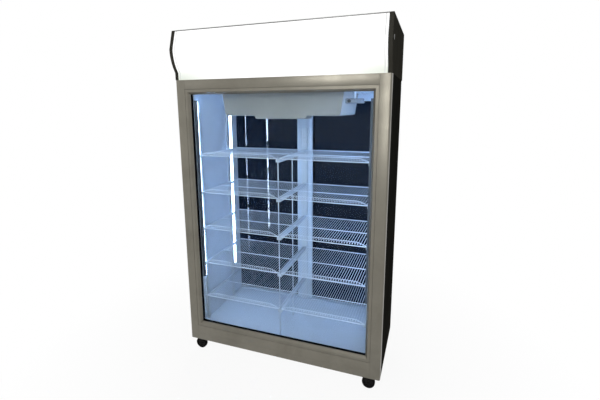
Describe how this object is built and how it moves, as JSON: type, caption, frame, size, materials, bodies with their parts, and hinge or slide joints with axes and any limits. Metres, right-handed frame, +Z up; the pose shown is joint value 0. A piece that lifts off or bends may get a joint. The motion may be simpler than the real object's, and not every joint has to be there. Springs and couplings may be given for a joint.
{
  "type": "upright glass display freezer",
  "caption": "Upright display freezer with a lit curved header, fixed glass front, wire shelves, rear glass doors and castors",
  "frame": {"origin": "on the floor, under the middle of the outer box", "axes": "+X to the right when facing the front glass, +Y from the front glass to the rear doors, +Z up"},
  "size_m": [1.25, 0.684, 2.058],
  "materials": {
    "frame_aluminium": "brushed",
    "clear_glass": "gloss",
    "black_panel": "satin",
    "liner_white": "satin",
    "foam": "matte",
    "galvanised_sheet": "satin",
    "door_aluminium": "satin",
    "sign_acrylic": "gloss",
    "lamp_glass": "gloss",
    "lid_metal": "satin",
    "black_plastic": "satin",
    "compressor_black": "gloss",
    "coil_fins": "satin",
    "motor_metal": "satin",
    "copper_tube": "satin",
    "grey_plastic": "satin",
    "upright_steel": "satin",
    "white_wire": "satin",
    "led_diffuser": "gloss",
    "seal_rubber": "matte",
    "hinge_steel": "satin",
    "fork_steel": "satin",
    "castor_rubber": "satin"
  },
  "bodies": {
    "cabinet": {"front_stile_left": "frame_aluminium", "front_stile_right": "frame_aluminium", "front_rail_top": "frame_aluminium", "front_rail_bottom": "frame_aluminium", "glazing_beads": "frame_aluminium", "front_glass": "clear_glass", "side_panel_left": "black_panel", "side_panel_right": "black_panel", "header_cap_left": "black_panel", "header_cap_right": "black_panel", "inner_liner": "liner_white", "evaporator_cover": "liner_white", "insulation": "foam", "base_pan": "galvanised_sheet", "top_deck": "galvanised_sheet", "sign_tray": "galvanised_sheet", "condenser_shroud": "galvanised_sheet", "rear_frame": "door_aluminium", "sign_panel": "sign_acrylic", "sign_lamps": "lamp_glass", "header_lid": "lid_metal", "rear_grille": "lid_metal", "electrical_box": "black_plastic", "compressor": "compressor_black", "condenser": "coil_fins", "evaporator_coil": "coil_fins", "condenser_motor": "motor_metal", "evaporator_motor": "motor_metal", "pipework": "copper_tube", "thermostat": "grey_plastic", "shelf_uprights": "upright_steel", "shelf_supports": "upright_steel", "shelf_level_1": "white_wire", "shelf_level_2": "white_wire", "shelf_level_3": "white_wire", "shelf_level_4": "white_wire", "shelf_level_5": "white_wire", "shelf_lips": "white_wire", "led_strips": "led_diffuser", "door_hinges": "hinge_steel", "castor_plates": "hinge_steel"},
    "door_left": {"door_left_frame": "door_aluminium", "door_left_glass": "clear_glass", "door_left_gasket": "seal_rubber", "door_left_handle": "black_plastic"},
    "door_right": {"door_right_frame": "door_aluminium", "door_right_glass": "clear_glass", "door_right_gasket": "seal_rubber", "door_right_handle": "black_plastic"},
    "switch_rocker": {"header_switch": "black_plastic"},
    "condenser_fan_wheel": {"condenser_fan": "black_plastic"},
    "evaporator_fan_wheel": {"evaporator_fan": "black_plastic"},
    "fork_front_left": {"castor_fork_front_left": "fork_steel"},
    "wheel_front_left": {"castor_wheel_front_left": "castor_rubber"},
    "fork_front_right": {"castor_fork_front_right": "fork_steel"},
    "wheel_front_right": {"castor_wheel_front_right": "castor_rubber"},
    "fork_rear_left": {"castor_fork_rear_left": "fork_steel"},
    "wheel_rear_left": {"castor_wheel_rear_left": "castor_rubber"},
    "fork_rear_right": {"castor_fork_rear_right": "fork_steel"},
    "wheel_rear_right": {"castor_wheel_rear_right": "castor_rubber"}
  },
  "joints": [
    {"name": "door_left_swing", "type": "hinge", "parent": "cabinet", "child": "door_left", "pos_m": [-0.61, 0.29, 0.96], "axis": [0, 0, 1], "range_deg": [0, 110]},
    {"name": "door_right_swing", "type": "hinge", "parent": "cabinet", "child": "door_right", "pos_m": [0.61, 0.29, 0.96], "axis": [0, 0, -1], "range_deg": [0, 110]},
    {"name": "switch_rock", "type": "hinge", "parent": "cabinet", "child": "switch_rocker", "pos_m": [0.6175, -0.268, 1.953], "axis": [0, 0, 1], "range_deg": [-7, 7]},
    {"name": "condenser_fan_spin", "type": "hinge", "parent": "cabinet", "child": "condenser_fan_wheel", "pos_m": [-0.24, 0.189, 1.892], "axis": [0, 1, 0], "continuous": true},
    {"name": "evaporator_fan_spin", "type": "hinge", "parent": "cabinet", "child": "evaporator_fan_wheel", "pos_m": [0, 0.008, 1.59], "axis": [0, 0, 1], "continuous": true},
    {"name": "castor_swivel_front_left", "type": "hinge", "parent": "cabinet", "child": "fork_front_left", "pos_m": [-0.57, -0.242, 0.088], "axis": [0, 0, 1], "continuous": true},
    {"name": "castor_roll_front_left", "type": "hinge", "parent": "fork_front_left", "child": "wheel_front_left", "pos_m": [-0.586, -0.242, 0.038], "axis": [0, 1, 0], "continuous": true},
    {"name": "castor_swivel_front_right", "type": "hinge", "parent": "cabinet", "child": "fork_front_right", "pos_m": [0.57, -0.242, 0.088], "axis": [0, 0, 1], "continuous": true},
    {"name": "castor_roll_front_right", "type": "hinge", "parent": "fork_front_right", "child": "wheel_front_right", "pos_m": [0.554, -0.242, 0.038], "axis": [0, 1, 0], "continuous": true},
    {"name": "castor_swivel_rear_left", "type": "hinge", "parent": "cabinet", "child": "fork_rear_left", "pos_m": [-0.57, 0.212, 0.088], "axis": [0, 0, 1], "continuous": true},
    {"name": "castor_roll_rear_left", "type": "hinge", "parent": "fork_rear_left", "child": "wheel_rear_left", "pos_m": [-0.586, 0.212, 0.038], "axis": [0, 1, 0], "continuous": true},
    {"name": "castor_swivel_rear_right", "type": "hinge", "parent": "cabinet", "child": "fork_rear_right", "pos_m": [0.57, 0.212, 0.088], "axis": [0, 0, 1], "continuous": true},
    {"name": "castor_roll_rear_right", "type": "hinge", "parent": "fork_rear_right", "child": "wheel_rear_right", "pos_m": [0.554, 0.212, 0.038], "axis": [0, 1, 0], "continuous": true}
  ]
}
